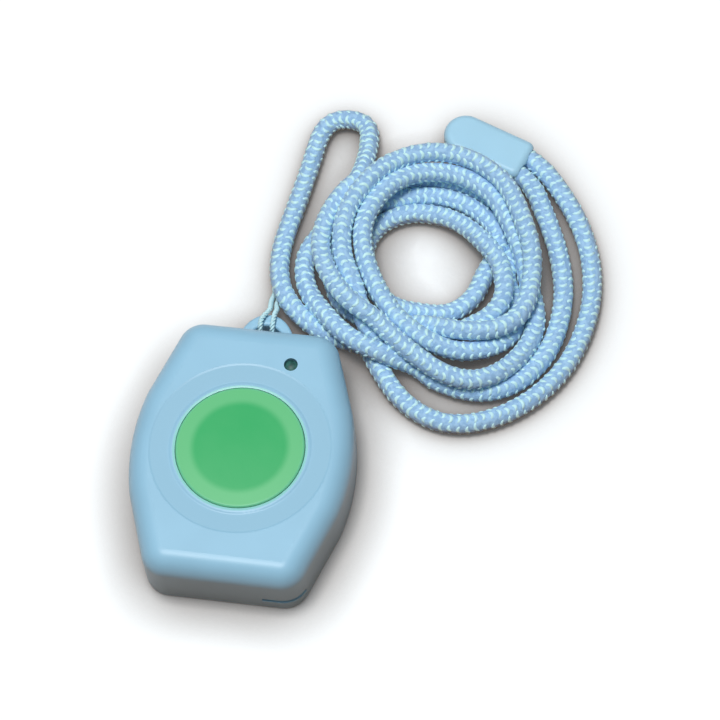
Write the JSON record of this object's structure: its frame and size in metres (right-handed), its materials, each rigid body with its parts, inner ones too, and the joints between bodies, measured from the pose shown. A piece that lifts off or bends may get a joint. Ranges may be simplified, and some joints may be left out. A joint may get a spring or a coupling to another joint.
{
  "type": "wireless panic button",
  "caption": "Wearable wireless panic button: flat barrel-shaped case with one large round push button and a light, on a coiled braided neck cord.",
  "frame": {"origin": "On the resting surface under the middle of the case, on the button's axis", "axes": "+Z out of the button's face, +Y towards the lanyard lug, +X to the right as seen from the front"},
  "size_m": [0.0962, 0.1216, 0.0166],
  "materials": {
    "case_plastic": "satin",
    "button_green": "satin",
    "seal_rubber": "matte",
    "inner_plastic": "matte",
    "dark_plastic": "matte",
    "board": "satin",
    "steel": "satin",
    "cell_steel": "satin",
    "tinned_wire": "satin",
    "shield_can": "satin",
    "gold_plate": "satin",
    "chip_ceramic": "matte",
    "led_lens": "gloss",
    "joiner_plastic": "satin",
    "braided_cord": "matte",
    "string": "satin"
  },
  "bodies": {
    "case": {"front_shell": "case_plastic", "rear_shell": "case_plastic", "case_gasket": "seal_rubber", "sealing_membrane": "seal_rubber", "membrane_ring": "inner_plastic", "circuit_board": "board", "board_screws": "steel", "status_led": "led_lens", "led_leads": "tinned_wire", "switch_body": "dark_plastic", "switch_cover": "steel", "switch_dome": "steel", "switch_tabs": "tinned_wire", "battery_cell": "cell_steel", "battery_pad": "gold_plate", "battery_clip": "steel", "radio_module": "shield_can", "control_chip": "dark_plastic", "crystal": "shield_can", "small_parts": "chip_ceramic", "antenna_wire": "gold_plate", "cord_joiner": "joiner_plastic", "lanyard_outer": "braided_cord", "lanyard_inner": "braided_cord", "lanyard_coil": "braided_cord", "string_loop": "string"},
    "button": {"button_cap": "button_green"},
    "key": {"switch_key": "dark_plastic"}
  },
  "joints": [
    {"name": "button_press", "type": "slide", "parent": "case", "child": "button", "axis": [0, 0, -1], "range_m": [0, 0.0006], "stiffness_N_per_m": 980, "springref_m": -0.0006, "deforming": ["sealing_membrane"]},
    {"name": "switch_travel", "type": "slide", "parent": "case", "child": "key", "axis": [0, 0, -1], "range_m": [0, 0.0006], "stiffness_N_per_m": 20, "springref_m": -0.0006, "deforming": ["switch_dome"]}
  ],
  "couplings": [
    {"joint": "switch_travel", "follows": "button_press", "ratio": 1}
  ]
}
